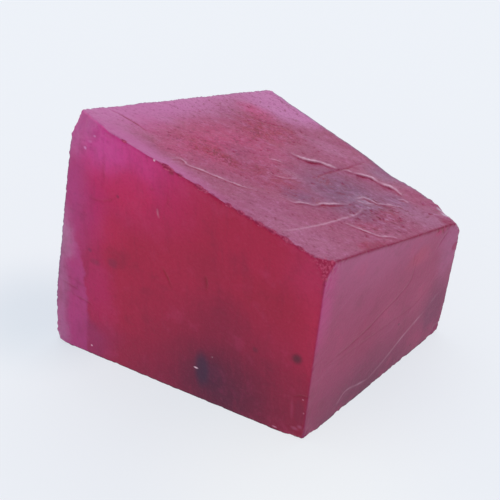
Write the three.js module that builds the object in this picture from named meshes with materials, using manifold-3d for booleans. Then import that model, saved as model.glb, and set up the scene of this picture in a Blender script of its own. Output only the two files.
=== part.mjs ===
// Rough ruby: a saw-cut block of cloudy corundum with a sloping, flaked top, resting on its
// flat sawn base. Millimetres, +Z up. The origin is on the base, under the middle of the block.

import * as THREE from 'three';
import { mergeVertices } from 'three/addons/utils/BufferGeometryUtils.js';
import Module from 'manifold-3d';

// Sawn sides: the bearing that each faces (degrees from +X towards +Y), how far it leans back
// from upright (negative overhangs), and its reach from the origin at the level of the base.
const FRONT_SIDE = { bearing: -90.4, lean: 1.3, reach: 14.54 };
const RIGHT_SIDE = { bearing: -4.5, lean: -5.7, reach: 14.83 };
const BACK_SIDE = { bearing: 81.3, lean: -6.6, reach: 11.02 };
const LEFT_SIDE = { bearing: 169.5, lean: 7, reach: 14.06 };

// The top slopes down towards the back right-hand corner.
const TOP_FALL = { bearing: 54.2, slope: 21.9, height: 20.51 };

// Wear on the arrises and pits on the top.
const SMALLEST_CHIP = 0.45;
const LARGEST_CHIP = 1.1;
const PIT_COUNT = 60;
const PIT_RADIUS = 0.28;
const PIT_DEPTH = 0.14;
const RANDOM_SEED = 20;

// The blank is larger than the block, and what is sawn off it is larger than the blank.
const BLANK_SIZE = 70;
const WASTE_SIZE = 250;

const UP = new THREE.Vector3(0, 0, 1);
const wasm = await Module();
wasm.setup();

// Seeded random numbers from 0 to 1.
let seed = RANDOM_SEED;
function random() {
  seed = (seed + 0x6d2b79f5) | 0;
  let mixed = Math.imul(seed ^ (seed >>> 15), 1 | seed);
  mixed = (mixed + Math.imul(mixed ^ (mixed >>> 7), 61 | mixed)) ^ mixed;
  return ((mixed ^ (mixed >>> 14)) >>> 0) / 4294967296;
}

function randomBetween(low, high) {
  return low + (high - low) * random();
}

// A closed geometry, placed by a matrix, as a solid that can be joined and cut.
function solidFrom(geometry, matrix = new THREE.Matrix4()) {
  const bare = geometry.clone().applyMatrix4(matrix);
  bare.deleteAttribute('normal');
  bare.deleteAttribute('uv');
  const merged = mergeVertices(bare, 1e-4);
  return new wasm.Manifold(new wasm.Mesh({
    numProp: 3,
    vertProperties: new Float32Array(merged.attributes.position.array),
    triVerts: new Uint32Array(merged.index.array),
  }));
}

function geometryFrom(solid) {
  const mesh = solid.getMesh();
  const geometry = new THREE.BufferGeometry();
  geometry.setAttribute('position', new THREE.BufferAttribute(mesh.vertProperties, 3));
  geometry.setIndex(new THREE.BufferAttribute(mesh.triVerts, 1));
  geometry.computeVertexNormals();
  return geometry;
}

// The outward normal of a face, from the bearing that it faces and how far it leans back.
function facing(bearing, lean) {
  const turn = THREE.MathUtils.degToRad(bearing);
  const rise = THREE.MathUtils.degToRad(lean);
  return new THREE.Vector3(
    Math.cos(turn) * Math.cos(rise),
    Math.sin(turn) * Math.cos(rise),
    Math.sin(rise),
  );
}

// The plane of a sawn side.
function sidePlane({ bearing, lean, reach }) {
  const atBase = facing(bearing, 0).multiplyScalar(reach);
  return new THREE.Plane().setFromNormalAndCoplanarPoint(facing(bearing, lean), atBase);
}

// The plane of the sloping top, which has its height above the origin.
function slopePlane({ bearing, slope, height }) {
  const aboveOrigin = new THREE.Vector3(0, 0, height);
  return new THREE.Plane().setFromNormalAndCoplanarPoint(facing(bearing, 90 - slope), aboveOrigin);
}

// The waste beyond a plane, as one large block to saw off.
function wasteBeyond(plane) {
  const turn = new THREE.Quaternion().setFromUnitVectors(UP, plane.normal);
  const middle = plane.coplanarPoint(new THREE.Vector3()).addScaledVector(plane.normal, WASTE_SIZE / 2);
  const place = new THREE.Matrix4().compose(middle, turn, new THREE.Vector3(1, 1, 1));
  return solidFrom(new THREE.BoxGeometry(WASTE_SIZE, WASTE_SIZE, WASTE_SIZE), place);
}

// The point where three planes meet.
function corner(first, second, third) {
  const across = (a, b) => new THREE.Vector3().crossVectors(a.normal, b.normal);
  const point = across(second, third).multiplyScalar(-first.constant);
  point.addScaledVector(across(third, first), -second.constant);
  point.addScaledVector(across(first, second), -third.constant);
  return point.divideScalar(first.normal.dot(across(second, third)));
}

const front = sidePlane(FRONT_SIDE);
const right = sidePlane(RIGHT_SIDE);
const back = sidePlane(BACK_SIDE);
const left = sidePlane(LEFT_SIDE);
const top = slopePlane(TOP_FALL);
const base = new THREE.Plane(new THREE.Vector3(0, 0, -1), 0);

const corners = {
  frontLeftTop: corner(front, left, top),
  frontRightTop: corner(front, right, top),
  backRightTop: corner(back, right, top),
  backLeftTop: corner(back, left, top),
  frontLeftBase: corner(front, left, base),
  frontRightBase: corner(front, right, base),
  backRightBase: corner(back, right, base),
  backLeftBase: corner(back, left, base),
};

// The sawn block: four sides, the base and the sloping top.
function sawnBlock() {
  const blank = solidFrom(new THREE.BoxGeometry(BLANK_SIZE, BLANK_SIZE, BLANK_SIZE));
  return [front, right, back, left, base, top].reduce(
    (stone, plane) => stone.subtract(wasteBeyond(plane)),
    blank,
  );
}

// A corner knocked off along a plane through three points, which are measured from the sharp
// corner along its three arrises.
function knockOffCorner(stone, name, towards, distances) {
  const at = corners[name];
  const points = towards.map((other, i) => {
    const along = corners[other].clone().sub(at).normalize();
    return at.clone().addScaledVector(along, distances[i]);
  });
  const plane = new THREE.Plane().setFromCoplanarPoints(...points);
  if (plane.distanceToPoint(at) < 0) plane.negate();
  return stone.subtract(wasteBeyond(plane));
}

function knockOffCorners(stone) {
  const knocks = [
    ['frontLeftTop', ['backLeftTop', 'frontRightTop', 'frontLeftBase'], [1.35, 4.6, 2.9]],
    ['frontRightTop', ['backRightTop', 'frontLeftTop', 'frontRightBase'], [1.5, 1.3, 1.9]],
    ['backRightTop', ['frontRightTop', 'backLeftTop', 'backRightBase'], [1.4, 3.5, 1.15]],
    ['backLeftTop', ['frontLeftTop', 'backRightTop', 'backLeftBase'], [0.5, 0.6, 0.8]],
    ['frontLeftBase', ['backLeftBase', 'frontRightBase', 'frontLeftTop'], [0.9, 1.1, 2.0]],
    ['frontRightBase', ['backRightBase', 'frontLeftBase', 'frontRightTop'], [0.7, 0.8, 0.5]],
    ['backRightBase', ['frontRightBase', 'backLeftBase', 'backRightTop'], [0.6, 0.5, 0.8]],
    ['backLeftBase', ['frontLeftBase', 'backRightBase', 'backLeftTop'], [0.8, 1.0, 0.8]],
  ];
  return knocks.reduce((whole, knock) => knockOffCorner(whole, ...knock), stone);
}

// A thin flake off the front, beside the foot of the front right-hand arris.
function flakeBesideFoot(stone) {
  const flakeWidth = 1.7;
  const flakeHeight = 4.6;
  const flakeDepth = 0.25;
  const foot = corners.frontRightBase;
  const flake = new THREE.BoxGeometry(2 * flakeWidth, 2 * flakeDepth, 2 * flakeHeight);
  const place = new THREE.Matrix4().makeRotationY(THREE.MathUtils.degToRad(5));
  place.setPosition(foot.x + 0.4, foot.y, 0);
  return stone.subtract(solidFrom(flake, place));
}

// Small chips scooped along an arris, each a twenty-sided bite that reaches in from outside.
function chipArris(stone, { ends, planes, chips }) {
  const [from, to] = ends.map((name) => corners[name]);
  const outward = planes[0].normal.clone().add(planes[1].normal).normalize();
  const along = to.clone().sub(from).normalize();
  const lieAlong = new THREE.Quaternion().setFromUnitVectors(new THREE.Vector3(1, 0, 0), along);
  let chipped = stone;
  for (let i = 0; i < chips; i += 1) {
    const size = randomBetween(SMALLEST_CHIP, LARGEST_CHIP) * Math.sqrt(random());
    const radius = Math.max(size, SMALLEST_CHIP);
    const bite = radius * randomBetween(0.06, 0.2);
    const middle = from.clone().lerp(to, (i + random()) / chips);
    middle.addScaledVector(outward, radius - bite);
    const turn = new THREE.Quaternion().setFromAxisAngle(along, randomBetween(0, 2 * Math.PI));
    turn.multiply(lieAlong);
    const shape = new THREE.Vector3(radius * randomBetween(1.2, 2.4), radius, radius);
    const place = new THREE.Matrix4().compose(middle, turn, shape);
    chipped = chipped.subtract(solidFrom(new THREE.IcosahedronGeometry(1, 0), place));
  }
  return chipped;
}

function chipArrises(stone) {
  const arrises = [
    { ends: ['frontLeftTop', 'backLeftTop'], planes: [left, top], chips: 22 },
    { ends: ['backLeftTop', 'backRightTop'], planes: [back, top], chips: 14 },
    { ends: ['frontRightTop', 'backRightTop'], planes: [right, top], chips: 11 },
    { ends: ['frontLeftTop', 'frontRightTop'], planes: [front, top], chips: 18 },
    { ends: ['frontRightBase', 'frontRightTop'], planes: [front, right], chips: 10 },
    { ends: ['frontLeftBase', 'frontLeftTop'], planes: [front, left], chips: 11 },
    { ends: ['backRightBase', 'backRightTop'], planes: [back, right], chips: 7 },
    { ends: ['backLeftBase', 'backLeftTop'], planes: [back, left], chips: 9 },
    { ends: ['frontLeftBase', 'frontRightBase'], planes: [front, base], chips: 13 },
    { ends: ['frontRightBase', 'backRightBase'], planes: [right, base], chips: 11 },
    { ends: ['backRightBase', 'backLeftBase'], planes: [back, base], chips: 11 },
    { ends: ['backLeftBase', 'frontLeftBase'], planes: [left, base], chips: 12 },
  ];
  return arrises.reduce(chipArris, stone);
}

// A point of the top slope, given in plan.
function onTop([x, y]) {
  const { normal, constant } = top;
  return new THREE.Vector3(x, y, -(constant + normal.x * x + normal.y * y) / normal.z);
}

// A three-sided bar that follows a route across the top and fades to its ends. Its section is
// three points, clockwise as seen along the route, each [to the left of it, above the surface].
function barAlong(route, section) {
  const curve = new THREE.CatmullRomCurve3(route.map(onTop));
  const steps = 4 * (route.length - 1);
  const bar = new THREE.CylinderGeometry(1, 1, 1, 3, steps);
  const position = bar.attributes.position;
  const directions = [0, 1, 2].map((i) => {
    const angle = (2 * Math.PI * i) / 3;
    return new THREE.Vector2(Math.sin(angle), Math.cos(angle));
  });
  for (let i = 0; i < position.count; i += 1) {
    const spot = new THREE.Vector2(position.getX(i), position.getZ(i));
    const t = position.getY(i) + 0.5;
    const fade = 0.15 + 0.85 * Math.sin(Math.PI * t) ** 0.6;
    const leftwards = new THREE.Vector3().crossVectors(top.normal, curve.getTangent(t)).normalize();
    const point = curve.getPoint(t);
    section.forEach(([across, above], j) => {
      const share = (1 + 2 * spot.dot(directions[j])) / 3;
      point.addScaledVector(leftwards, share * across * fade);
      point.addScaledVector(top.normal, share * above * fade);
    });
    position.setXYZ(i, point.x, point.y, point.z);
  }
  return solidFrom(bar);
}

// Step-like ledges, each with a steep face on the right of its route and a long back slope, and
// the cracks between them. Routes are in plan.
function flakeTop(stone) {
  const ledge = (rise, run) => [[run, -0.2], [0.1, rise], [-0.05, -0.2]];
  const ridge = (rise, width) => [[width / 2, -0.15], [0, rise], [-width / 2, -0.15]];
  const ledges = [
    [[[0.6, 2.4], [3.8, 4.3], [5.6, 6.1], [7.9, 7.7], [10.5, 8.0]], ledge(0.34, 2.4)],
    [[[6.8, -6.8], [8.6, -3.9], [9.4, -2.3], [9.8, -0.1]], ledge(0.22, 1.5)],
    [[[9.4, 1.1], [9.8, 2.6], [10.6, 3.1], [11.5, 4.2]], ledge(0.2, 1.0)],
    [[[10.4, 4.7], [11.7, 5.7], [12.9, 6.2]], ledge(0.18, 0.9)],
    [[[-2.8, -12.6], [-0.6, -10.9], [1.4, -10.1], [4.5, -9.0]], ridge(0.2, 0.8)],
    [[[10.3, -13.2], [11.1, -8.7], [11.2, -4.3], [10.9, 0.3]], ridge(0.14, 1.6)],
    [[[11.9, -4.5], [13.6, -3.5], [15.0, -2.7]], ridge(0.16, 0.7)],
  ];
  const crack = [[-0.25, 0.2], [0, -0.22], [0.25, 0.2]];
  const cracks = [
    [[5.1, 1.4], [4.9, 5.4], [5.1, 9.0], [4.8, 10.5]],
    [[-11.6, -9.5], [-10.5, -9.2], [-9.1, -9.2], [-7.6, -9.5]],
  ];
  const raised = ledges.reduce((whole, [route, section]) => whole.add(barAlong(route, section)), stone);
  return cracks.reduce((whole, route) => whole.subtract(barAlong(route, crack)), raised);
}

// Pits plucked out of the top, crowded in three patches.
function pitTop(stone) {
  const patches = [[-3.1, 3.4], [-0.8, -5.3], [7.9, -2.8]];
  const spread = 4.2;
  let pitted = stone;
  for (let i = 0; i < PIT_COUNT; i += 1) {
    const [x, y] = patches[i % patches.length];
    const away = spread * Math.sqrt(random());
    const bearing = randomBetween(0, 2 * Math.PI);
    const middle = onTop([x + away * Math.cos(bearing), y + away * Math.sin(bearing)]);
    const size = randomBetween(0.7, 1.4);
    const shape = new THREE.Vector3(PIT_RADIUS * size * 1.4, PIT_RADIUS * size, PIT_DEPTH * size);
    const turn = new THREE.Quaternion().setFromUnitVectors(UP, top.normal);
    turn.multiply(new THREE.Quaternion().setFromAxisAngle(UP, randomBetween(0, Math.PI)));
    const place = new THREE.Matrix4().compose(middle, turn, shape);
    pitted = pitted.subtract(solidFrom(new THREE.OctahedronGeometry(1, 0), place));
  }
  return pitted;
}

// Cloudy crimson corundum with a dull sawn finish.
function rubyMaterial() {
  return new THREE.MeshStandardMaterial({ color: 0x9a3250, roughness: 0.5, metalness: 0 });
}

function rubyBlock() {
  const worn = chipArrises(flakeBesideFoot(knockOffCorners(sawnBlock())));
  const block = new THREE.Mesh(geometryFrom(pitTop(flakeTop(worn))), rubyMaterial());
  block.name = 'ruby_block';
  return block;
}

const roughRuby = new THREE.Group();
roughRuby.add(rubyBlock());

export default roughRuby;
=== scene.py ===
import math
import random

import bmesh
import bpy
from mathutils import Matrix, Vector, kdtree, noise


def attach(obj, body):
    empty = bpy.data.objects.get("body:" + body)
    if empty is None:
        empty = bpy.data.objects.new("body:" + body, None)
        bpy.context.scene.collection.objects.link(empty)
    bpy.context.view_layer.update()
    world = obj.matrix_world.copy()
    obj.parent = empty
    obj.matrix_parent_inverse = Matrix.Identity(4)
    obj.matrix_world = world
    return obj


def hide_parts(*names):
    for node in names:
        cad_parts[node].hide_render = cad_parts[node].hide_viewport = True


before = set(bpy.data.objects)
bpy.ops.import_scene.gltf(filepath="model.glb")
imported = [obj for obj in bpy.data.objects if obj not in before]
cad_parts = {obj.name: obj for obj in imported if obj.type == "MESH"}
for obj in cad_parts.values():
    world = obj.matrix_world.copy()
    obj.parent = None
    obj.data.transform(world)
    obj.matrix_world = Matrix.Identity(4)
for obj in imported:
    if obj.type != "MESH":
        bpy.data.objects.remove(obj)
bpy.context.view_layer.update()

# The studio
# A pale, slightly blue sheet under the stone, in a white tent: light comes from all round,
# most of it from above and behind, so the stone casts only a faint soft shadow.

MM = 0.001


def linear(hex_colour):
    """The linear colour, with alpha 1, of an sRGB hex value such as "a02c48"."""
    channels = [int(hex_colour[i:i + 2], 16) / 255 for i in (0, 2, 4)]
    return [c / 12.92 if c <= 0.04045 else ((c + 0.055) / 1.055) ** 2.4 for c in channels] + [1.0]


def add_node(tree, kind, inputs=None, **settings):
    """Adds a node, gives it its settings, and sets or links its inputs."""
    node = tree.nodes.new(kind)
    for name, value in settings.items():
        setattr(node, name, value)
    for socket, value in (inputs or {}).items():
        if isinstance(value, bpy.types.NodeSocket):
            tree.links.new(value, node.inputs[socket])
        else:
            node.inputs[socket].default_value = value
    return node


def new_material(name):
    """A material, its node tree, and in that tree the place of a point of the object, in mm."""
    material = bpy.data.materials.new(name)
    material.use_nodes = True
    tree = material.node_tree
    tree.nodes.clear()
    coordinates = add_node(tree, "ShaderNodeTexCoord").outputs["Object"]
    place = add_node(tree, "ShaderNodeVectorMath", {0: coordinates, 1: [1 / MM] * 3},
                     operation="MULTIPLY").outputs[0]
    return material, tree, place


def over(tree, colour, laid, most, value, low=None, high=None, within=None):
    """Lays a colour over another, up to a share: in proportion to a value from 0 to 1, or, with
    low and high, not at all where the value is at low and most where it is at high. The value may
    be the name of a mark that the mesh carries, and the share may be kept within another."""
    if isinstance(value, str):
        value = add_node(tree, "ShaderNodeAttribute", attribute_name=value).outputs["Fac"]
    if low is not None:
        value = add_node(tree, "ShaderNodeMapRange", {0: value, 1: low, 2: high, 3: 0.0, 4: most},
                         interpolation_type="SMOOTHSTEP").outputs[0]
    elif most != 1:
        value = add_node(tree, "ShaderNodeMath", {0: value, 1: most},
                         operation="MULTIPLY").outputs[0]
    if within is not None:
        value = add_node(tree, "ShaderNodeMath", {0: value, 1: within},
                         operation="MULTIPLY").outputs[0]
    if isinstance(laid, str):
        laid = linear(laid)
    return add_node(tree, "ShaderNodeMix", {0: value, 6: colour, 7: laid},
                    data_type="RGBA").outputs[2]


def layered(tree, colour, layers):
    """Lays colours over a colour, one after another. Each says what `over` needs for it."""
    for layer in layers:
        colour = over(tree, colour, *layer)
    return colour


def away_from(tree, where, axis, middle, radii):
    """How far a place is from an oval's middle, as a share of its radii. The oval is given in
    the two directions other than the axis."""
    scale = [1 / radius for radius in radii]
    shift = [-m / radius for m, radius in zip(middle, radii)]
    scale.insert(axis, 0)
    shift.insert(axis, 0)
    laid = add_node(tree, "ShaderNodeVectorMath", {0: where, 1: scale, 2: shift},
                    operation="MULTIPLY_ADD").outputs[0]
    return add_node(tree, "ShaderNodeVectorMath", {0: laid}, operation="LENGTH").outputs["Value"]


def zoned(tree, colour, where, axis, zones):
    """Lays soft ovals over a colour. Each has its middle and its radii in mm, the share of it
    that is solid, its colour and its strength."""
    for middle, radii, solid, hex_colour, strength in zones:
        away = away_from(tree, where, axis, middle, radii)
        colour = over(tree, colour, hex_colour, strength, away, 1, solid)
    return colour


def new_object(name, bm, material):
    """An object at the origin from a bmesh, which is freed."""
    mesh = bpy.data.meshes.new(name)
    bm.to_mesh(mesh)
    bm.free()
    mesh.materials.append(material)
    made = bpy.data.objects.new(name, mesh)
    bpy.context.scene.collection.objects.link(made)
    return made


# The camera looks down at the corner between the front and right-hand sides.
VIEW_AZIMUTH = 33.5
VIEW_ELEVATION = 34.06
VIEW_DISTANCE = 239.46
VIEW_AIM = Vector((-0.052, -2.98, 10.739))
VIEW_ANGLE = 12
CLIP_START = 10

azimuth = math.radians(VIEW_AZIMUTH)
elevation = math.radians(VIEW_ELEVATION)
towards_camera = Vector((
    math.sin(azimuth) * math.cos(elevation),
    -math.cos(azimuth) * math.cos(elevation),
    math.sin(elevation),
))
camera = bpy.data.objects.new("camera", bpy.data.cameras.new("camera"))
camera.data.angle = math.radians(VIEW_ANGLE)
camera.data.clip_start = CLIP_START * MM
camera.location = (VIEW_AIM + VIEW_DISTANCE * towards_camera) * MM
camera.rotation_euler = towards_camera.to_track_quat("Z", "Y").to_euler()
bpy.context.scene.collection.objects.link(camera)
bpy.context.scene.camera = camera
bpy.context.scene.view_settings.view_transform = "Standard"

# The sheet glows a little, as one lit from below does, which keeps the stone's shadow faint.
SHEET_SIZE = 4000
SHEET_COLOUR = "696a6c"
SHEET_GLOW_COLOUR = "f0f4fa"
SHEET_GLOW = 0.79
# Painted shadow where it glows less, to the left of the stone, and a painted pool of light where
# it glows more, in front of it.
SHEET_PAINTED_SHADOW_AND_LIGHT = [
    ((-21, -12), (13, 13), 0.1, "dde5ee", 1.0),
    ((17, -20), (20, 20), 0.1, "fafdff", 0.7),
]

sheet_material, tree, place = new_material("white_acrylic_sheet")
glow = zoned(tree, linear(SHEET_GLOW_COLOUR), place, 2, SHEET_PAINTED_SHADOW_AND_LIGHT)
shader = add_node(tree, "ShaderNodeBsdfPrincipled", {
    "Base Color": linear(SHEET_COLOUR),
    "Roughness": 0.8,
    "Emission Color": glow,
    "Emission Strength": SHEET_GLOW,
})
add_node(tree, "ShaderNodeOutputMaterial", {"Surface": shader.outputs["BSDF"]})
bm = bmesh.new()
bmesh.ops.create_grid(bm, x_segments=1, y_segments=1, size=SHEET_SIZE * MM / 2)
sheet = new_object("backdrop_sheet", bm, sheet_material)

# The tent: an even white surround, and a soft box above and behind the stone.
TENT_COLOUR = "f2f6ff"
TENT_STRENGTH = 0.66
SOFT_BOX_COLOUR = "fbfdff"
SOFT_BOX_WATTS = 1.2
SOFT_BOX_SIZE = 500
SOFT_BOX_DISTANCE = 500
TOWARDS_SOFT_BOX = Vector((-0.25, 0.45, 1)).normalized()

world = bpy.data.worlds.new("tent")
world.use_nodes = True
bpy.context.scene.world = world
backdrop = world.node_tree.nodes["Background"]
backdrop.inputs["Color"].default_value = linear(TENT_COLOUR)
backdrop.inputs["Strength"].default_value = TENT_STRENGTH

lamp = bpy.data.lights.new("soft_box_above", "AREA")
lamp.size = SOFT_BOX_SIZE * MM
lamp.energy = SOFT_BOX_WATTS
lamp.color = linear(SOFT_BOX_COLOUR)[:3]
soft_box = bpy.data.objects.new("soft_box_above", lamp)
soft_box.location = TOWARDS_SOFT_BOX * SOFT_BOX_DISTANCE * MM
soft_box.rotation_euler = TOWARDS_SOFT_BOX.to_track_quat("Z", "Y").to_euler()
bpy.context.scene.collection.objects.link(soft_box)

# The ruby block
# One piece of cloudy corundum, sawn flat on four sides and below. Its sloping top has parted
# along a flaw and is flaked and pitted, and every arris is worn and chipped.

# Each sawn side: the bearing that it faces in degrees from +X towards +Y, how far it leans back
# from upright, and its reach from the middle of the base, in mm.
SIDES = {
    "front": (-90.4, 1.3, 14.54),
    "right": (-4.5, -5.7, 14.83),
    "back": (81.3, -6.6, 11.02),
    "left": (169.5, 7, 14.06),
}
TOP_BEARING, TOP_SLOPE, TOP_HEIGHT = 54.2, 21.9, 20.51


def facing(bearing, lean):
    """The outward normal of a face, from the bearing that it faces and how far it leans back."""
    turn = math.radians(bearing)
    rise = math.radians(lean)
    level = math.cos(rise)
    return Vector((math.cos(turn) * level, math.sin(turn) * level, math.sin(rise)))


def side_plane(bearing, lean, reach):
    """A sawn side's plane, as its normal and its distance from the origin."""
    return facing(bearing, lean), reach * math.cos(math.radians(lean))


def slope_plane(bearing, slope, height):
    """The plane of a sloping facet at a height above the origin."""
    normal = facing(bearing, 90 - slope)
    return normal, height * normal.z


def plane_through(a, b, c, inside):
    """The plane through three points, with its normal away from a point inside the stone."""
    normal = (b - a).cross(c - a).normalized()
    if normal.dot(inside - a) > 0:
        normal.negate()
    return normal, normal.dot(a)


def meeting(first, second, third):
    """The point where three planes meet."""
    (n1, d1), (n2, d2), (n3, d3) = first, second, third
    across = n2.cross(n3)
    return (across * d1 + n3.cross(n1) * d2 + n1.cross(n2) * d3) / n1.dot(across)


planes = {name: side_plane(*sizes) for name, sizes in SIDES.items()}
planes["top"] = slope_plane(TOP_BEARING, TOP_SLOPE, TOP_HEIGHT)
planes["base"] = (Vector((0, 0, -1)), 0.0)
corners = {
    (depth, side, level): meeting(planes[depth], planes[side], planes[level])
    for depth in ("front", "back") for side in ("left", "right") for level in ("top", "base")
}
MIDDLE = Vector((0, 0, 10))

# Knocked-off corners: how far along the arris that runs front to back, left to right and up or
# down each one reaches, in mm.
KNOCKS = {
    ("front", "left", "top"): (1.35, 4.6, 2.9),
    ("front", "right", "top"): (1.5, 1.3, 1.9),
    ("back", "right", "top"): (1.4, 3.5, 1.15),
    ("back", "left", "top"): (0.5, 0.6, 0.8),
    ("front", "left", "base"): (0.9, 1.1, 2.0),
    ("front", "right", "base"): (0.7, 0.8, 0.5),
    ("back", "right", "base"): (0.6, 0.5, 0.8),
    ("back", "left", "base"): (0.8, 1.0, 0.8),
}
OPPOSITE = {"front": "back", "left": "right", "top": "base"}
OPPOSITE.update({opposite: side for side, opposite in OPPOSITE.items()})

for name, distances in KNOCKS.items():
    at = corners[name]
    reached = []
    for i, distance in enumerate(distances):
        other = list(name)
        other[i] = OPPOSITE[name[i]]
        reached.append(at + (corners[tuple(other)] - at).normalized() * distance)
    planes["knock_" + "_".join(name)] = plane_through(*reached, MIDDLE)


def heights(point):
    """How far a point stands out of each plane: zero on a face and negative inside."""
    return {name: normal.dot(point) - distance for name, (normal, distance) in planes.items()}


def on_top(x, y):
    """The point of the top plane above a place in plan."""
    normal, distance = planes["top"]
    return Vector((x, y, (distance - normal.x * x - normal.y * y) / normal.z))


def smooth_step(low, high, value):
    """0 up to low and 1 from high, with a soft rise between."""
    t = min(1.0, max(0.0, (value - low) / (high - low)))
    return t * t * (3 - 2 * t)


def bell(away, width):
    """1 at the middle of a bump, falling to 0 beside it."""
    return math.exp(-(away / width) ** 2)


# How far apart the points of a route lie, in mm.
ROUTE_STEP = 0.12


def route_points(route):
    """Points along a smooth curve through the points of a route."""
    ends = [2 * route[0] - route[1]] + list(route) + [2 * route[-1] - route[-2]]
    points = []
    for a, b, c, d in zip(ends, ends[1:], ends[2:], ends[3:]):
        steps = max(2, round((c - b).length / ROUTE_STEP))
        for i in range(steps):
            t = i / steps
            points.append(0.5 * (2 * b + (c - a) * t + (2 * a - 5 * b + 4 * c - d) * t * t
                                 + (3 * b - a - 3 * c + d) * t ** 3))
    points.append(route[-1])
    return points


class Route:
    """A line on the stone's surface, which tells how far any point is from it."""

    def __init__(self, points, face):
        self.normal = planes[face][0]
        self.points = route_points([Vector(p) for p in points])
        self.tree = kdtree.KDTree(len(self.points))
        for i, point in enumerate(self.points):
            self.tree.insert(point, i)
        self.tree.balance()

    def place(self, point):
        """How far a point is to the left of the route, how far along it, from 0 to 1, and how
        far beyond its end."""
        nearest, i, distance = self.tree.find(point)
        last = len(self.points) - 1
        ahead = self.points[min(i + 1, last)] - self.points[max(i - 1, 0)]
        left = self.normal.cross(ahead).normalized()
        across = (point - nearest).dot(left)
        beyond = math.sqrt(max(0.0, distance ** 2 - across ** 2))
        return across, i / last, beyond


def top_route(*plan):
    """A route across the top, from places in plan."""
    return Route([on_top(x, y) for x, y in plan], "top")


def front_route(*places):
    """A route across the front, from places given as (x, z)."""
    normal, distance = planes["front"]
    return Route([(x, (distance - normal.z * z) / normal.y, z) for x, z in places], "front")


def right_route(*places):
    """A route across the right-hand side, from places given as (y, z)."""
    normal, distance = planes["right"]
    points = [((distance - normal.y * y - normal.z * z) / normal.x, y, z) for y, z in places]
    return Route(points, "right")


# Step-like ledges: route, rise and length of the back slope, in mm. The steep face of a ledge is
# on the right of its route.
LEDGES = [
    (top_route((0.7, 2.8), (1.8, 3.3), (2.6, 3.9), (3.3, 4.7), (4.2, 5.1), (4.9, 5.5)), 0.26, 0.9),
    (top_route(
        (5.1, 5.6), (5.5, 6.2), (6.2, 6.7), (7.4, 7.8), (8.5, 7.9), (9.4, 8.3), (10.2, 8.3),
        (11.3, 7.9),
    ), 0.3, 1.0),
    (top_route(
        (6.6, -6.8), (7.3, -6.5), (7.6, -5.8), (8.1, -5.2), (8.5, -4.8), (8.7, -3.6), (9.1, -2.8),
        (9.5, -1.5), (9.9, -0.8), (9.7, 0.2),
    ), 0.15, 0.7),
    (top_route(
        (9.4, 1.1), (9.6, 2.2), (9.8, 2.9), (10.4, 3.1), (11.0, 3.2), (11.5, 4.0), (12.1, 4.4),
        (12.5, 4.6),
    ), 0.15, 0.4),
    (top_route((9.6, 1.1), (10.2, 1.3), (10.6, 1.9), (10.9, 3.0)), 0.1, 0.3),
    (top_route((11.4, 4.2), (11.8, 4.6), (12.4, 5.3), (13.0, 5.4)), 0.12, 0.3),
    (top_route((11.3, 6.6), (11.7, 7.3), (12.2, 7.1)), 0.12, 0.3),
    (top_route(
        (-3.2, -12.0), (-3.0, -11.5), (-2.8, -10.9), (-2.3, -10.9), (-1.8, -11.3), (-1.1, -10.9),
        (-0.5, -10.6), (0.3, -10.3), (1.2, -9.9), (1.8, -9.7), (2.4, -9.5), (3.0, -9.2),
        (3.7, -8.6), (4.1, -7.9),
    ), 0.13, 0.35),
    (top_route((2.1, -3.7), (2.8, -3.3), (3.5, -3.1), (4.1, -2.2), (4.5, -0.9)), 0.07, 0.4),
    (top_route((0.6, -0.8), (1.2, -0.2), (1.9, 0.1)), 0.05, 0.3),
    (top_route(
        (11.8, -4.6), (12.9, -4.2), (13.7, -3.8), (14.4, -3.5), (14.9, -3.3), (15.3, -2.8),
    ), 0.14, 0.35),
    (top_route((15.1, -3.0), (15.5, -2.0), (16.1, -1.5)), 0.12, 0.3),
]
# Low rounded ridges: route, rise and width.
RIDGES = [
    (top_route(
        (10.2, -13.5), (10.5, -12.1), (10.7, -10.7), (10.9, -9.3), (11.1, -7.7), (11.2, -6.1),
        (11.3, -4.5), (11.4, -2.8), (11.3, -1.2), (11.1, 0.2), (11.2, 1.3),
    ), 0.04, 0.18),
]
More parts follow.
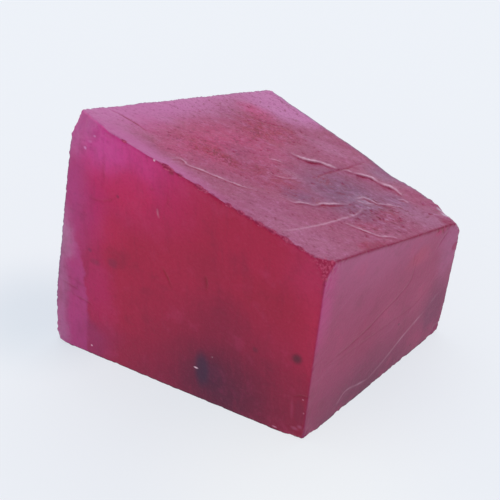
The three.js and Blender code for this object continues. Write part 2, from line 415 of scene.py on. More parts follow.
# Cracks: route, depth and width.
CRACKS = [
    (top_route(
        (5.0, 10.7), (5.1, 9.4), (5.2, 7.3), (5.2, 6.5), (5.0, 5.2), (4.9, 3.7), (4.9, 2.4),
        (5.0, 1.3), (4.8, 0.4),
    ), 0.1, 0.15),
    (top_route((10.0, 2.5), (10.4, 2.6), (10.8, 2.7)), 0.05, 0.11),
    (top_route((10.1, 3.3), (10.5, 3.4), (11.1, 3.3)), 0.05, 0.11),
    (top_route((12.3, 3.4), (12.9, 3.7), (13.4, 3.8)), 0.05, 0.11),
    (top_route(
        (-12.2, -9.5), (-11.1, -9.2), (-10.0, -9.2), (-9.2, -9.2), (-8.3, -9.3), (-7.6, -9.4),
    ), 0.08, 0.13),
    (top_route(
        (-6.6, 5.6), (-5.9, 5.8), (-5.2, 6.2), (-4.1, 6.9), (-3.1, 8.1), (-2.8, 8.3),
    ), 0.04, 0.16),
    (front_route((-15.9, 8.0), (-15.0, 7.7), (-14.1, 7.5), (-13.0, 7.3)), 0.06, 0.12),
    (front_route((-14.2, 6.6), (-13.1, 6.4), (-12.0, 6.2), (-11.5, 6.0)), 0.06, 0.12),
    (front_route((-14.6, 8.5), (-13.6, 8.4), (-12.6, 7.9)), 0.02, 0.15),
    (front_route((12.6, 5.0), (13.3, 5.3), (14.5, 5.6)), 0.08, 0.13),
    (front_route(
        (-9.6, 24.9), (-9.5, 24.4), (-9.7, 23.2), (-9.8, 22.4), (-9.7, 21.5), (-9.9, 20.3),
    ), 0.018, 0.18),
    (front_route((-4.2, 23.0), (-4.1, 22.4), (-3.5, 22.7)), 0.02, 0.13),
    (front_route(
        (-1.9, 23.6), (-2.0, 23.1), (-2.1, 22.0), (-2.3, 21.2), (-2.7, 20.6),
    ), 0.014, 0.18),
    (front_route(
        (-11.8, 19.2), (-11.2, 18.9), (-10.6, 18.9), (-9.7, 19.1), (-8.8, 19.6), (-8.1, 20.2),
    ), 0.02, 0.15),
    (front_route((-4.6, 26.1), (-4.6, 25.5), (-4.5, 24.9)), 0.014, 0.14),
    (front_route((-3.0, 14.0), (-2.4, 13.3), (-1.7, 11.9)), 0.03, 0.14),
    (front_route((2.2, 15.0), (2.4, 14.2), (2.4, 13.1)), 0.03, 0.14),
    (right_route((6.8, 9.9), (3.6, 6.9), (-3.0, 7.0), (-8.9, 7.4), (-12.7, 7.9)), 0.014, 0.13),
    (right_route(
        (2.1, 13.5), (1.5, 10.7), (-0.5, 9.7), (-2.9, 9.2), (-5.7, 8.5), (-9.3, 8.2), (-12.7, 8.1),
    ), 0.028, 0.14),
    (right_route((7.6, 13.4), (6.9, 13.1), (6.3, 12.7), (5.6, 12.1)), 0.04, 0.13),
    (right_route((5.3, 14.9), (5.6, 14.2)), 0.05, 0.14),
    (right_route((6.1, 14.6), (6.4, 14.0), (6.7, 13.5)), 0.05, 0.14),
    (right_route((6.8, 14.3), (7.6, 13.4)), 0.05, 0.14),
    (right_route((1.5, 14.0), (1.5, 13.1), (1.5, 12.4)), 0.02, 0.13),
]
# Healed cracks that show pale: route and width.
PALE_LINES = [
    (right_route((7.4, 5.6), (6.5, 5.2), (4.6, 4.4), (1.8, 3.5), (-1.3, 2.2), (-4.0, 1.3)), 0.12),
    (right_route((-4.0, 1.3), (-5.7, 1.7), (-7.9, 2.2), (-9.4, 1.3)), 0.1),
    (front_route((-3.4, 20.6), (-3.3, 19.8), (-3.1, 19.5)), 0.1),
]
lines = [entry[0] for entry in LEDGES + RIDGES + CRACKS + PALE_LINES]
route_tree = kdtree.KDTree(sum(len(line.points) for line in lines))
for line in lines:
    for point in line.points:
        route_tree.insert(point, 0)
route_tree.balance()

# Pits plucked out of the top, crowded in three patches.
PIT_COUNT = 210
PIT_PATCHES = ((-3.1, 3.4), (-0.8, -5.3), (7.9, -2.8))
PIT_SPREAD = 6.5
SMALLEST_PIT, LARGEST_PIT = 0.1, 0.2
# Larger pits that stand alone, in plan.
PLUCKED_PIT = 0.26
PLUCKED = (
    (14.4, -4.5), (13.8, 2.9), (14.1, 2.5), (14.9, 1.5), (13.2, 0.7), (13.0, 0.3), (12.9, -0.6),
    (11.6, 0.9), (11.2, -1.7), (12.1, -2.2), (13.1, 8.8), (14.6, 7.5), (7.0, 3.1), (5.7, -0.5),
)
RANDOM_SEED = 20

random.seed(RANDOM_SEED)
pits = [(on_top(x, y), PLUCKED_PIT) for x, y in PLUCKED]
for i in range(PIT_COUNT):
    x, y = PIT_PATCHES[i % len(PIT_PATCHES)]
    away = PIT_SPREAD * math.sqrt(random.random())
    bearing = random.uniform(0, 2 * math.pi)
    middle = on_top(x + away * math.cos(bearing), y + away * math.sin(bearing))
    radius = SMALLEST_PIT + (LARGEST_PIT - SMALLEST_PIT) * random.random() ** 3
    pits.append((middle, radius))
pit_tree = kdtree.KDTree(len(pits))
for i, (middle, radius) in enumerate(pits):
    pit_tree.insert(middle, i)
pit_tree.balance()

# Lengths of the mesh's edges, in mm: the finest in the pits and along the ledges and arrises,
# and the widest on the plain sawn faces.
FINEST_EDGE = 0.1
ARRIS_EDGE = 0.15
TOP_EDGE = 0.36
WIDEST_EDGE = 1.0
ARRIS_BAND = 0.5
TOP_BAND = 0.05
ROUTE_BAND = 0.25
REFINEMENTS = 7
# How fast the edges lengthen away from an arris, and from a pit or a route, and how many times
# the wanted length an edge may have.
ARRIS_GROWTH = 0.35
DETAIL_GROWTH = 0.5
LONGEST_SHARE = 1.35
# The blank, and the even cuts through it that the finer mesh starts from, in mm.
BLANK_SIZE = 80
FIRST_SPACING = 4
FIRST_SHIFT = 0.3
FIRST_CUTS = range(-5, 9)
NEAR_ENOUGH = 1e-5


def wanted_edge(point):
    """How long the mesh's edges may be at a point."""
    nearness = sorted(heights(point).values(), reverse=True)
    from_arris = -nearness[1]
    length = ARRIS_EDGE + ARRIS_GROWTH * max(0.0, from_arris - ARRIS_BAND)
    if planes["top"][0].dot(point) - planes["top"][1] > -TOP_BAND:
        length = min(length, TOP_EDGE)
        _, i, distance = pit_tree.find(point)
        length = min(length, FINEST_EDGE + DETAIL_GROWTH * max(0.0, distance - pits[i][1]))
    distance = route_tree.find(point)[2]
    length = min(length, FINEST_EDGE + DETAIL_GROWTH * max(0.0, distance - ROUTE_BAND))
    return min(length, WIDEST_EDGE)


def sawn_block():
    """The sharp-edged block, cut out of a blank along every plane, with a fine mesh."""
    bm = bmesh.new()
    bmesh.ops.create_cube(bm, size=BLANK_SIZE)
    for normal, distance in planes.values():
        whole = bm.verts[:] + bm.edges[:] + bm.faces[:]
        cut = bmesh.ops.bisect_plane(
            bm, geom=whole, dist=NEAR_ENOUGH, plane_co=normal * distance, plane_no=normal,
            clear_outer=True)
        rim = [part for part in cut["geom_cut"] if isinstance(part, bmesh.types.BMEdge)]
        bmesh.ops.holes_fill(bm, edges=rim, sides=0)
    for axis in range(3):
        normal = Vector((0, 0, 0))
        normal[axis] = 1
        for step in FIRST_CUTS:
            bmesh.ops.bisect_plane(
                bm, geom=bm.verts[:] + bm.edges[:] + bm.faces[:], dist=NEAR_ENOUGH,
                plane_co=normal * (step * FIRST_SPACING + FIRST_SHIFT), plane_no=normal)
    bmesh.ops.triangulate(bm, faces=bm.faces[:])
    for refinement in range(REFINEMENTS):
        long_edges = []
        for edge in bm.edges:
            a, b = edge.verts
            if edge.calc_length() > wanted_edge((a.co + b.co) / 2) * LONGEST_SHARE:
                long_edges.append(edge)
        bmesh.ops.subdivide_edges(bm, edges=long_edges, cuts=1)
        bmesh.ops.triangulate(bm, faces=[face for face in bm.faces if len(face.verts) > 3])
    return bm


# How far the wear reaches: the rounding of the arrises, and more of it round the knocked-off
# corners above and at the base, and how deep below a face its relief fades out, in mm.
ARRIS_RADIUS = 0.12
CORNER_RADIUS = 0.14
BASE_CORNER_RADIUS = 0.42
RELIEF_DEPTH = 2.0
SAW_WAVE = 0.035
# The swells of the top: height in mm, how many to a mm, and seed. Its steps: height and size.
TOP_SWELLS = ((0.1, 0.14, 4.2), (0.035, 0.6, 1.7), (0.016, 2.1, 8.3))
TOP_STEPS = ((0.02, 3.1, 2.6), (0.014, 1.4, 5.1))
# How far from its arris each kind of wear and each mark fades, in mm, and how near a face a point
# has to be to lie on it.
ARRIS_REACH = 0.3
KNOCK_REACH = 0.6
FRESH_REACH = 0.4
ARRIS_SHADE_REACH = 0.23
LINE_REACH = 0.2
ON_FACE = 0.01
ROUNDING_SWEEPS = 3
# Where a ledge's steep face starts and ends beside its route, in mm, the share of its rise that
# lies below the plane, and how deep a pit is as a share of its radius.
LEDGE_FOOT, LEDGE_CREST = -0.16, 0.08
LEDGE_SUNK = 0.6
PIT_DEPTH = 0.4

# Depth of the ragged nicks in the arris between two faces, in mm.
NICKS = {
    ("front", "top"): 0.2,
    ("left", "top"): 0.13,
    ("right", "top"): 0.07,
    ("back", "top"): 0.04,
    ("front", "left"): 0.13,
    ("front", "right"): 0.05,
}
OTHER_NICKS = 0.06

# Shallow hollows: middle, radius and depth in mm, and the way that they face.
HOLLOWS = [
    (on_top(7.4, 11.6), 2.6, 0.3, planes["top"][0]),
    (on_top(-8.5, -2.5), 2.2, 0.1, planes["top"][0]),
    (on_top(14.8, 10.0), 1.0, 0.2, planes["top"][0]),
    (corners["front", "left", "base"] + Vector((0.5, 0, 2.0)), 2.6, 0.25, planes["left"][0]),
]


def rounded(point, radius):
    """Where a point of the sharp block lies once its arrises are rounded, and the way out."""
    inner = point.copy()
    for sweep in range(ROUNDING_SWEEPS):
        for normal, distance in planes.values():
            excess = normal.dot(inner) - distance + radius
            if excess > 0:
                inner -= normal * excess
    out = (point - inner).normalized()
    return inner + out * radius, out


def step_noise(point, size, seed):
    """Broken ground: noise that rises in small steps, from 0 to 1."""
    value = noise.noise(Vector((point.x / size, point.y / size, seed)))
    return smooth_step(0.02, 0.09, value) + smooth_step(-0.28, -0.22, value) - 1


def faded(along, beyond, reach):
    """How much of a ledge or a crack is left near its ends."""
    return math.sin(math.pi * along) ** 0.6 * bell(beyond, reach)


def top_relief(point):
    """The flaking of the top above its plane, with the painted highlight along its crests and the
    painted shade below its ledges and in its pits.
    """
    x, y, z = point
    height = sum(rise * noise.noise(Vector((x * pitch, y * pitch, seed)))
                 for rise, pitch, seed in TOP_SWELLS)
    height += sum(rise * step_noise(point, size, seed) for rise, size, seed in TOP_STEPS)
    pale = 0.0
    dark = 0.0
    for route, rise, run in LEDGES:
        if route.tree.find(point)[2] > 4 * run + 0.5:
            continue
        across, along, beyond = route.place(point)
        uneven = noise.noise(Vector((x * 0.9, y * 0.9, rise * 90)))
        uneven += 0.7 * noise.noise(Vector((x * 2.6, y * 2.6, rise)))
        share = faded(along, beyond, 0.25) * max(0.0, 0.85 + 0.8 * uneven)
        across += 0.06 * noise.noise(Vector((x * 1.2, y * 1.2, 3.3)))
        across += 0.04 * noise.noise(Vector((x * 4, y * 4, 6.3)))
        risen = smooth_step(LEDGE_FOOT, LEDGE_CREST, across)
        height += rise * share * (risen - LEDGE_SUNK) * math.exp(-abs(across) / run)
        crest = bell(max(0.0, across - 0.03), 0.12 + 0.5 * rise)
        crest *= smooth_step(0.35, 0.8, risen)
        pale += share * crest * min(1.0, 0.25 + rise / 0.35)
        dark += share * bell(across + 0.18, 0.16) * min(1.0, rise / 0.16)
    for route, rise, width in RIDGES:
        across, along, beyond = route.place(point)
        share = faded(along, beyond, 0.4)
        height += rise * share * bell(across, width)
        pale += 0.4 * share * bell(across, 0.7 * width)
    _, i, distance = pit_tree.find(point)
    if distance < pits[i][1]:
        hollow = 1 - (distance / pits[i][1]) ** 2
        height -= PIT_DEPTH * pits[i][1] * hollow
        dark += 0.8 * hollow
    return height, pale, dark


def line_marks(point, height, pale, dark):
    """Adds the cracks and the healed cracks near a point to its relief and its marks: the cracks
    darker, partly their own colour and partly painted shade in the groove, and the healed cracks
    pale.
    """
    for route, depth, width in CRACKS:
        if route.tree.find(point)[2] < 3 * width:
            across, along, beyond = route.place(point)
            across += 0.06 * noise.noise(point * 2.3)
            groove = faded(along, beyond, width) * bell(across, width)
            height -= depth * groove
            uneven = max(0.0, 0.8 + 0.9 * noise.noise(point * 1.3))
            dark += min(1.0, depth / 0.05) * groove * uneven
    for route, width in PALE_LINES:
        if route.tree.find(point)[2] < 3 * width:
            across, along, beyond = route.place(point)
            line = faded(along, beyond, width) * bell(across, width)
            pale += line * (0.27 + 0.5 * noise.noise(point * 0.7))
    return height, pale, dark


def looks_like(name):
    """The main face whose colour a knocked-off corner has, or "fresh" for bare broken stone."""
    if name == "knock_front_right_top":
        return "fresh"
    facing_most = max(SIDES, key=lambda side: planes[side][0].dot(planes[name][0]))
    if planes["top"][0].dot(planes[name][0]) > planes[facing_most][0].dot(planes[name][0]):
        facing_most = "top"
    return facing_most


looks = {name: looks_like(name) if name.startswith("knock") else name for name in planes}
# Among the marks: painted highlight on crests and ridges beside the pale healed cracks, painted
# shade below ledges, in pits and in cracks, a painted grey sheen on the worn rims, and painted
# dark red shade along some arrises, where their edges refract light.
MARKS = ("top", "right", "fresh", "pale", "dark", "rim", "arris_shade")


def wear_down(bm):
    """Rounds the arrises and nicks them, and gives every face its relief and its marks."""
    marks = {name: bm.verts.layers.float.new(name) for name in MARKS}
    for vert in bm.verts:
        point = vert.co.copy()
        out_of = heights(point)
        nearest, second = sorted(out_of, key=out_of.get, reverse=True)[:2]
        from_arris = -out_of[second]
        arris = bell(from_arris, ARRIS_REACH)
        pair = tuple(sorted((nearest, second)))
        from_knock = -max(value for name, value in out_of.items() if name.startswith("knock"))
        radius = ARRIS_RADIUS + 0.06 * noise.noise(point * 0.35) + 0.04 * noise.noise(point * 1.9)
        more = BASE_CORNER_RADIUS if point.z < 5 else CORNER_RADIUS
        radius += more * bell(from_knock, KNOCK_REACH)
        moved, out = rounded(point, max(0.05, radius))
        teeth = 1.1 if "left" in pair else 0.3
        nick = max(0.0, noise.fractal(point * 1.1, 0.9, 2.1, 4))
        nick += teeth * abs(noise.noise(point * 3.6))
        moved -= out * NICKS.get(pair, OTHER_NICKS) * nick * arris
        pale = 0.0
        dark = 0.0
        for name, (normal, distance) in planes.items():
            if name == "base" or out_of[name] < -RELIEF_DEPTH:
                continue
            height = SAW_WAVE * noise.noise(point * 0.2 + normal * 9)
            height += 0.008 * noise.noise(point * 1.3 + normal * 5)
            if name == "top":
                height, top_pale, top_dark = top_relief(point)
                if out_of[name] > -ON_FACE:
                    pale += top_pale
                    dark += top_dark
            if out_of[name] > -ON_FACE:
                height, pale, dark = line_marks(point, height, pale, dark)
            if name.startswith("knock"):
                height += 0.1 * noise.fractal(point * 1.6, 0.8, 2.0, 4)
            moved += normal * height * smooth_step(-RELIEF_DEPTH, 0, out_of[name])
        for middle, radius, depth, facing_way in HOLLOWS:
            moved -= facing_way * depth * bell((point - middle).length, radius)
        moved.z = max(0.0, moved.z)
        vert.co = moved
        vert[marks["pale"]] = min(1.2, pale)
        vert[marks["dark"]] = min(1.2, dark)
        touched = [name for name in planes if out_of[name] > -ON_FACE]
        for name in touched:
            if looks[name] in marks:
                vert[marks[looks[name]]] += 1 / len(touched)
        ragged = smooth_step(-0.15, 0.35, noise.noise(point * 2.4))
        below = out_of["knock_front_right_top"]
        fresh = 0.9 * ragged * bell(below, FRESH_REACH)
        vert[marks["fresh"]] = max(vert[marks["fresh"]], fresh)
        # Painted sheen on the rims, grey where they reflect light at a grazing angle, and painted
        # shade, dark red, along the arrises where their edges refract light.
        line = bell(from_arris, LINE_REACH)
        if pair in (("back", "top"), ("left", "top"), ("back", "right"), ("front", "left")):
            vert[marks["rim"]] = arris if pair == ("back", "top") else 0.7 * line
        if pair == ("right", "top"):
            vert[marks["arris_shade"]] = bell(from_arris, ARRIS_SHADE_REACH)
        if pair == ("front", "top") and nearest == "front":
            vert[marks["arris_shade"]] = 0.6 * line * smooth_step(-9, -2, point.x)
        if pair == ("front", "right") and nearest == "front":
            vert[marks["arris_shade"]] = line * (0.35 + 0.6 * smooth_step(16.5, 20, point.z))


# Chips along each arris: its two ends, how many, the deepest bite as a share of their radius, and
# how they crowd towards its second end (below 1) or its first (above 1).
ARRIS_CHIPS = [
    (("front", "left", "top"), ("back", "left", "top"), 44, 0.2, 1),
    (("back", "left", "top"), ("back", "right", "top"), 26, 0.14, 1),
    (("front", "right", "top"), ("back", "right", "top"), 46, 0.2, 1),
    (("front", "left", "top"), ("front", "right", "top"), 150, 0.6, 0.5),
    (("front", "right", "base"), ("front", "right", "top"), 40, 0.22, 1),
    (("front", "left", "base"), ("front", "left", "top"), 40, 0.22, 1),
    (("back", "right", "base"), ("back", "right", "top"), 16, 0.2, 1),
    (("back", "left", "base"), ("back", "left", "top"), 24, 0.25, 1),
    (("front", "left", "base"), ("front", "right", "base"), 36, 0.1, 1),
    (("front", "right", "base"), ("back", "right", "base"), 30, 0.25, 1),
    (("back", "right", "base"), ("back", "left", "base"), 30, 0.3, 1),
    (("back", "left", "base"), ("front", "left", "base"), 30, 0.3, 1),
]
SMALLEST_CHIP, LARGEST_CHIP = 0.2, 0.75
# Chips round the knocked-off corner nearest the front, and how far from it they lie.
CORNER_CHIPS = 60
LARGEST_CORNER_CHIP = 0.32
CORNER_CHIP_SPREAD = 1.5


def chip_places():
    """The middle and radius of the ball that scoops out each chip."""
    for first, second, count, deepest, crowding in ARRIS_CHIPS:
        shared = [part for part in first if part in second]
        out = (planes[shared[0]][0] + planes[shared[1]][0]).normalized()
        for i in range(count):
            radius = random.uniform(SMALLEST_CHIP, LARGEST_CHIP)
            bite = radius * (0.04 + deepest * random.random() ** 2)
            along = 0.02 + 0.96 * random.random() ** crowding
            yield corners[first].lerp(corners[second], along) + out * (radius - bite), radius
    normal, distance = planes["knock_front_right_top"]
    facet = corners["front", "right", "top"]
    facet = facet - normal * (normal.dot(facet) - distance)
    for i in range(CORNER_CHIPS):
        radius = random.uniform(SMALLEST_CHIP, LARGEST_CORNER_CHIP)
        bite = 0.02 + 0.09 * random.random()
        offset = Vector([random.gauss(0, 0.45) * CORNER_CHIP_SPREAD for axis in range(3)])
        yield facet + (offset - normal * normal.dot(offset)) + normal * (radius - bite), radius


def chip_arrises(bm):
    """Scoops small shell-shaped chips out of the arrises. Fresh chips show the body colour."""
    fresh = bm.verts.layers.float["fresh"]
    verts = bm.verts[:]
    tree = kdtree.KDTree(len(verts))
    for i, vert in enumerate(verts):
        tree.insert(vert.co, i)
    tree.balance()
    for middle, radius in chip_places():
        for co, i, distance in tree.find_range(middle, radius):
            vert = verts[i]
            away = vert.co - middle
            rough = radius + 0.02 * noise.noise(vert.co * 5)
            if away.length < rough:
                vert.co = middle + away.normalized() * rough
                vert.co.z = max(0.0, vert.co.z)
                vert[fresh] = min(1.0, vert[fresh] + 8 * (rough - away.length))


bm = sawn_block()
wear_down(bm)
chip_arrises(bm)
for face in bm.faces:
    face.smooth = True
bmesh.ops.scale(bm, vec=(MM, MM, MM), verts=bm.verts)
bmesh.ops.recalc_face_normals(bm, faces=bm.faces)

# Cloudy corundum with a satin sawn skin, dark crimson in the body. The light that comes through
# the thin stone is painted into the colour: a painted glow, pinker and paler, where it is thin,
# and painted shade, darker, low down. Colours lie in soft zones with wavy borders.
ruby_material, tree, place = new_material("cloudy_corundum_sawn")


def pattern(size, stretch=(1, 1, 1), turn=(0, 0, 0), kind="ShaderNodeTexNoise", **inputs):
    """A texture whose lumps have a size in mm, stretched along the axes and turned in degrees."""
    laid = add_node(tree, "ShaderNodeMapping", {
        "Vector": place,
        "Rotation": [math.radians(angle) for angle in turn],
        "Scale": [size * s for s in stretch],
    }, vector_type="TEXTURE")
    return add_node(tree, kind, {"Vector": laid.outputs[0], "Scale": 1, **inputs})


# Zones have wavy borders: their places are shifted by up to this far, in mm.
WAVE = 1.3
wave = pattern(4, Detail=4, Roughness=0.65).outputs["Color"]
wave = add_node(tree, "ShaderNodeVectorMath", {0: wave, 1: [0.5] * 3},
                operation="SUBTRACT").outputs[0]
wave = add_node(tree, "ShaderNodeVectorMath", {0: wave, 1: [2 * WAVE] * 3},
                operation="MULTIPLY").outputs[0]
wavy_place = add_node(tree, "ShaderNodeVectorMath", {0: place, 1: wave}).outputs[0]


def ground(zones):
    """The share, from 0 to 1, that soft oval zones cover of the top, in plan."""
    share = 0.0
    for middle, radii, solid, strength in zones:
        away = away_from(tree, wavy_place, 2, middle, radii)
        covered = add_node(tree, "ShaderNodeMapRange",
                           {0: away, 1: 1, 2: solid, 3: 0.0, 4: strength},
                           interpolation_type="SMOOTHSTEP").outputs[0]
        share = add_node(tree, "ShaderNodeMix", {0: covered, 2: share, 3: 1.0},
                         data_type="FLOAT").outputs[0]
    return share


# The front, as x and z. The pinker, paler zones towards the left and the top are partly painted
# glow of light coming through the thin stone, and the darker zones low down partly painted shade.
FRONT_COLOUR = "b2043f"
FRONT_ZONES = [
    ((-8, 23.5), (13, 9), 0.1, "cc1866", 1.0),
    ((-8, 26), (10, 6), 0.1, "d8388c", 0.8),
    ((15, 19.5), (5, 6), 0.1, "bc2058", 0.6),
    ((-11.2, 17), (3, 6), 0.1, "c41c72", 0.6),
    ((-10.6, 8.5), (3, 6.5), 0.1, "c41c78", 0.35),
    ((-9.6, 3.4), (3, 2.6), 0.1, "a01c5c", 0.45),
    ((-6.4, 21.2), (3.7, 3.9), 0.4, "c80a4c", 0.5),
    ((6, 2), (18, 14.5), 0.1, "800034", 1.0),
    ((-19, 13), (9, 32), 0.6, "b42468", 0.7),
    ((-13.5, 1.4), (5.2, 3.4), 0.5, "a42866", 0.8),
    ((-19, 5), (7.3, 13), 0.93, "bb3a80", 0.85),
    ((-19, 20), (8.6, 15), 0.6, "bb3a80", 0.9),
    ((-2, -2), (17, 9), 0.1, "7e0c3c", 0.6),
    ((-10.4, 25.4), (4.8, 4.8), 0.1, "d8489a", 0.85),
    ((-18.9, 8), (5, 17), 0.7, "b8709c", 0.65),
    ((-12.6, 27.6), (3.4, 3.2), 0.3, "c866a0", 0.75),
    ((-15.8, 14.5), (2.6, 4.5), 0.3, "c884ac", 0.45),
    ((4, 2), (7.5, 7.5), 0.05, "580a34", 0.85),
    ((4, 10.5), (4.5, 4.5), 0.05, "7a0634", 0.4),
    ((9.5, 14.5), (6.5, 4.5), 0.1, "9c0230", 0.5),
    ((-8.8, 15.5), (2.6, 3.6), 0.1, "cc1454", 0.4),
    ((-15.2, 12.8), (2.2, 3.2), 0.1, "cc8cb4", 0.5),
    ((-13.4, 24.6), (2.2, 2.6), 0.1, "cc70a8", 0.5),
    ((2.4, 15.8), (4.2, 3.0), 0.1, "940634", 0.4),
    ((15.2, 12), (2.0, 9), 0.2, "c4184c", 0.35),
]
FRONT_SPOTS = [
    ((3.0, 3.6), (2.3, 3.2), 0.1, "480c36", 0.5),
    ((1.85, 3.75), (1.2, 2.8), 0.35, "381c3e", 0.7),
    ((12.78, 9.37), (0.8, 0.8), 0.1, "5c0c2c", 0.75),
    ((12.98, 9.61), (0.8, 0.8), 0.1, "5c0c2c", 0.75),
    ((8.1, 8.6), (0.5, 0.5), 0.2, "6a0c30", 0.55),
    ((-8.9, 12.2), (0.9, 0.8), 0.3, "7e1c44", 0.45),
    ((-11.1, 11.5), (0.9, 0.5), 0.2, "7e1c44", 0.4),
    ((-11.7, 12.7), (0.4, 0.35), 0.2, "7a1c50", 0.5),
    ((-8.1, 20.2), (0.28, 0.28), 0.2, "7a1040", 0.6),
    ((-1.7, 25.1), (0.5, 0.35), 0.2, "8c0c34", 0.7),
    ((-3.7, 25.8), (0.18, 0.18), 0.3, "ffd0e8", 0.9),
    ((-11.8, 1.1), (0.16, 0.15), 0.3, "f0b0c8", 0.9),
    ((3.1, 5.7), (0.14, 0.13), 0.3, "a87888", 0.5),
    ((-10.7, 26.1), (0.22, 0.18), 0.2, "e898d0", 0.5),
    ((-11.3, 25.3), (0.4, 0.25), 0.1, "e090c8", 0.3),
    ((-11.9, 24.4), (0.26, 0.26), 0.2, "f0a0dc", 0.55),
    ((1.15, 3.65), (0.36, 0.14), 0.2, "ffd0e0", 0.9),
    ((13.3, 3.2), (0.7, 2.2), 0.5, "800a3a", 0.5),
    ((12.45, 3.4), (0.3, 1.9), 0.1, "b03c68", 0.3),
    ((12.8, 1.2), (0.6, 0.3), 0.1, "b85c84", 0.4),
    ((13.4, 1.6), (0.45, 0.3), 0.1, "b85c84", 0.4),
    ((13.7, 5.0), (0.14, 0.12), 0.3, "d8809c", 0.6),
    ((13.8, 3.4), (0.12, 0.14), 0.3, "d8809c", 0.5),
    ((10.5, 0.4), (0.4, 0.13), 0.3, "d888a8", 0.6),
]
# The top, as x and y.
TOP_COLOUR = "a04268"
TOP_ZONES = [
    ((-13, 0), (7.2, 30), 0.3, "c26ea2", 1.0),
    ((-8.4, -8), (3.2, 4), 0.1, "ba3c78", 0.6),
    ((-3, -3), (7.5, 10), 0.1, "ba3268", 0.8),
    ((8.4, 1.2), (7.8, 8), 0.1, "7e466a", 0.95),
    ((7.5, 10.5), (3.5, 3), 0.1, "8a5c80", 0.6),
    ((6.6, -4.6), (2.6, 2.4), 0.1, "80446a", 0.9),
    ((11.6, 6), (3, 2.5), 0.1, "8a4e74", 0.8),
    ((1.5, -4.5), (5, 3), 0.1, "90305a", 0.5),
    ((3.6, -1.3), (2.4, 1.2), 0.1, "aa6c8c", 0.7),
    ((1.5, 9.2), (4.5, 3), 0.1, "b05f88", 0.6),
    ((-7, 13.6), (7, 6.6), 0.45, "c270a4", 1.0),
    ((7, -11), (4, 5), 0.1, "a04270", 0.6),
    ((12, -12), (9, 5), 0.2, "a9557b", 0.8),
    ((14.8, 6), (4, 4), 0.1, "a26084", 0.7),
    ((-4.8, -9), (2.6, 3), 0.1, "bc3c70", 0.5),
    ((-6.4, 7.8), (3, 2.4), 0.1, "cc3c7c", 0.6),
    ((-1.2, -2.6), (2.6, 3.2), 0.1, "8c2c58", 0.5),
    ((10, 2), (1.8, 2.6), 0.1, "9c7090", 0.6),
]
# Where the top is flecked with red, as x and y.
RED_GROUND = [
    ((-3.2, 5), (4.6, 5), 0.1, 1.0),
    ((-2.6, -6.1), (5.2, 2.6), 0.1, 1.0),
    ((12.9, 1.8), (1.9, 3.2), 0.1, 0.5),
    ((13.2, -2.6), (1.4, 2.6), 0.1, 0.6),
    ((15.9, -5.2), (1.2, 3.2), 0.4, 0.7),
    ((3, -4), (5, 5), 0.1, 0.5),
]
# Where short dark dashes lie in it, where it is speckled, and the smoother lip along the front
# arris, as x and y.
DASHED_GROUND = [
    ((12.5, 1), (4.5, 8), 0.4, 1.0),
    ((8.5, 2), (4, 7), 0.1, 0.7),
    ((15.4, 8.4), (1.4, 1.2), 0.4, 1.0),
]
SPECKLED_GROUND = [
    ((-3.4, 3.9), (1.4, 1.2), 0.2, 1.0),
    ((-1.3, -5.8), (2.8, 1.4), 0.3, 1.0),
    ((2.0, -3.8), (1.8, 1.4), 0.1, 0.6),
    ((5.5, 1.5), (1.4, 1.2), 0.3, 0.8),
    ((8.7, -3.8), (1.3, 0.8), 0.3, 0.7),
]
LIP = [
    ((-7, -14.8), (16.5, 4.3), 0.3, 1.0),
    ((-11.5, -7), (4.5, 10), 0.2, 0.6),
]
TOP_SPOTS = [
    ((16.3, 7.9), (1.0, 1.0), 0.3, "900048", 0.85),
    ((14.5, 10.0), (0.8, 0.4), 0.2, "d8c8dc", 0.6),
    ((15.4, 9.3), (0.8, 0.4), 0.2, "d8c8dc", 0.6),
    ((15.9, -5.4), (0.9, 2.6), 0.2, "8c1444", 0.6),
]
# The right-hand side, as y and z. Paler towards the top and darker low down: partly painted
# glow and painted shade of the light that comes through the stone.
RIGHT_COLOUR = "a02c5e"
RIGHT_ZONES = [
    ((0, 22), (30, 12), 0.1, "b25080", 1.0),
    ((-5, -3), (18, 12), 0.1, "6c0440", 1.0),
    ((7, 4), (3.4, 5.5), 0.2, "681048", 0.6),
    ((-14.3, 17), (3, 8), 0.3, "c0347c", 0.7),
    ((8.4, 11), (3.2, 6), 0.1, "b25a8c", 0.6),
    ((-6.5, 7.5), (5, 4), 0.1, "96144c", 0.5),
    ((2.4, 12.6), (3, 1.6), 0.1, "bc3860", 0.5),
]
RIGHT_SPOTS = [
    ((0.5, 5.6), (0.2, 0.2), 0.2, "5a1030", 0.9),
    ((3.4, 1.2), (0.25, 0.22), 0.2, "6a1030", 0.8),
    ((9.2, 10.6), (0.65, 0.62), 0.5, "a00858", 1.0),
    ((6.4, 14.3), (2.0, 0.7), 0.2, "bc0060", 0.7),
]
front_colour = zoned(tree, linear(FRONT_COLOUR), wavy_place, 1, FRONT_ZONES)
top_colour = zoned(tree, linear(TOP_COLOUR), wavy_place, 2, TOP_ZONES)
right_colour = zoned(tree, linear(RIGHT_COLOUR), wavy_place, 0, RIGHT_ZONES)
right_colour = zoned(tree, right_colour, place, 0, RIGHT_SPOTS)

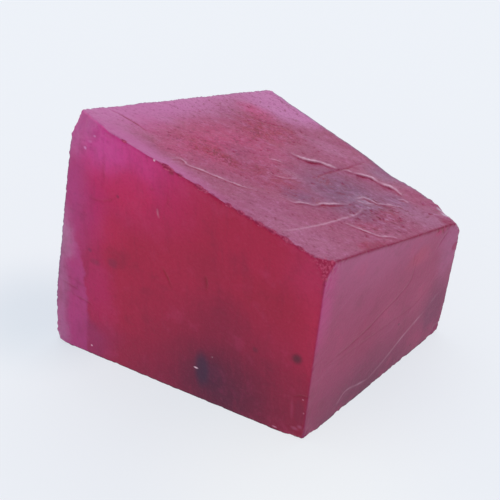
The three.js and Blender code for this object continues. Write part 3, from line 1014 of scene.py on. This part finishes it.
# The flaked top: mottling along its grain, fine grains, and specks of red that crowd on red
# ground. Speckles, grit and pits have a grain of their own. Both are turns in degrees.
GRAIN = (0, 0, 28)
SPECKLE_GRAIN = (0, 0, -57)
red_ground = ground(RED_GROUND)
dashed_ground = ground(DASHED_GROUND)
speckled_ground = ground(SPECKLED_GROUND)
lip = ground(LIP)
mottling = pattern(0.85, (1.4, 1, 1), GRAIN, Detail=5, Roughness=0.78).outputs["Fac"]
dashes = pattern(0.42, (2.6, 1, 1), GRAIN, Detail=1, Roughness=0.5).outputs["Fac"]
grains = pattern(0.27, (1.1, 1, 1), GRAIN, Detail=3, Roughness=0.75).outputs["Fac"]
specks = pattern(0.42, (1.4, 1, 1), GRAIN, Detail=2, Roughness=0.6).outputs["Fac"]
speckles = pattern(0.24, (2, 1, 1), SPECKLE_GRAIN, Detail=2, Roughness=0.7).outputs["Fac"]
grit = pattern(0.3, (1.8, 1, 1), SPECKLE_GRAIN, "ShaderNodeTexVoronoi").outputs["Distance"]
pits_seen = pattern(0.62, (1.6, 1, 1), SPECKLE_GRAIN, "ShaderNodeTexVoronoi").outputs["Distance"]
pitted_ground = add_node(tree, "ShaderNodeMapRange", {0: mottling, 1: 0.42, 2: 0.56},
                         interpolation_type="SMOOTHSTEP").outputs[0]
top_colour = layered(tree, top_colour, [
    ("b0205a", 0.6, red_ground),
    ("c474a4", 0.28, mottling, 0.48, 0.36),
    ("84204c", 0.5, mottling, 0.54, 0.66),
    ("a00834", 0.95, mottling, 0.5, 0.59, red_ground),
    ("840c38", 0.75, grains, 0.5, 0.6, red_ground),
    ("7c1848", 0.42, grains, 0.52, 0.66),
    ("d088b0", 0.24, grains, 0.46, 0.32),
    ("841850", 0.5, specks, 0.6, 0.68),
    ("780838", 0.9, dashes, 0.6, 0.65, dashed_ground),
    ("c088ac", 0.35, dashes, 0.38, 0.32, dashed_ground),
    ("8c0434", 0.95, speckles, 0.49, 0.56, speckled_ground),
    ("840638", 0.9, grit, 0.42, 0.24, speckled_ground),
    ("80063c", 0.65, pits_seen, 0.25, 0.14, pitted_ground),
    ("c0609a", 0.8, lip),
])
top_colour = zoned(tree, top_colour, place, 2, TOP_SPOTS)

# The sawn sides: faint streaks upright on the front, and rising to the back on the right.
upright = pattern(0.9, (1, 1, 5), Detail=3, Roughness=0.6).outputs["Fac"]
slanting = pattern(0.7, (1, 8, 1), (20, 0, 0), Detail=3, Roughness=0.6).outputs["Fac"]
front_colour = layered(tree, front_colour, [
    ("b8204c", 0.1, upright, 0.5, 0.3),
    ("7c0838", 0.14, upright, 0.5, 0.7),
])
right_colour = layered(tree, right_colour, [
    ("c070a0", 0.05, slanting, 0.5, 0.3),
    ("7c2450", 0.08, slanting, 0.5, 0.7),
])
cloud = pattern(3.2, Detail=4, Roughness=0.6).outputs["Fac"]
fine = pattern(0.3, Detail=3, Roughness=0.7).outputs["Fac"]
colour = layered(tree, front_colour, [
    (right_colour, 1, "right"),
    ("6c0430", 0.22, cloud, 0.52, 0.72),
    ("cc3c74", 0.16, cloud, 0.46, 0.28),
    ("5c0428", 0.12, fine, 0.5, 0.7),
    ("d84878", 0.06, fine, 0.5, 0.3),
])
colour = zoned(tree, colour, place, 1, FRONT_SPOTS)

# The broken corner, painted dark red shade along arrises where their edges refract light, a
# painted grey sheen on the rims, and the marks of the relief: painted highlight on crests, the
# pale healed cracks, and painted shade below ledges, in pits and in cracks.
broken = pattern(0.26, Detail=2, Roughness=0.6).outputs["Fac"]
bare = over(tree, linear("a01444"), "cc5074", 1, broken, 0.42, 0.66)
colour = layered(tree, colour, [
    (top_colour, 1, "top"),
    (bare, 0.8, "fresh"),
    ("8c0842", 0.95, "arris_shade"),
    ("70647e", 0.75, "rim"),
    ("ecbcd4", 0.8, "pale"),
])
# Painted shade below ledges, in pits and in cracks: the colour darkened, deep crimson on the top.
shaded = add_node(tree, "ShaderNodeMix", {0: 1.0, 6: colour, 7: linear("c44c74")},
                  data_type="RGBA", blend_type="MULTIPLY").outputs[2]
shaded = over(tree, shaded, "8c0038", 1, "top")
# How high, in mm, the painted contact shadow along the foot reaches, where the stone meets the
# ground.
FOOT = 0.28
above = add_node(tree, "ShaderNodeSeparateXYZ", {0: place}).outputs["Z"]
colour = layered(tree, colour, [
    (shaded, 0.85, "dark"),
    ("2c0c24", 0.75, above, FOOT, 0),
])
on_the_top = add_node(tree, "ShaderNodeAttribute", attribute_name="top").outputs["Fac"]
height = add_node(tree, "ShaderNodeMix", {0: on_the_top, 2: fine, 3: grains},
                  data_type="FLOAT").outputs[0]
# The depth of the finest grain, in mm.
GRAIN_DEPTH = 0.05
bump = add_node(tree, "ShaderNodeBump", {
    "Height": height, "Distance": GRAIN_DEPTH * MM, "Strength": 0.6})
shader = add_node(tree, "ShaderNodeBsdfPrincipled", {
    "Base Color": colour,
    "Roughness": 0.42,
    "IOR": 1.77,
    "Specular IOR Level": 0.15,
    "Normal": bump.outputs["Normal"],
})
add_node(tree, "ShaderNodeOutputMaterial", {"Surface": shader.outputs["BSDF"]})
ruby = new_object("ruby_stone", bm, ruby_material)
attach(ruby, "root")
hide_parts("ruby_block")
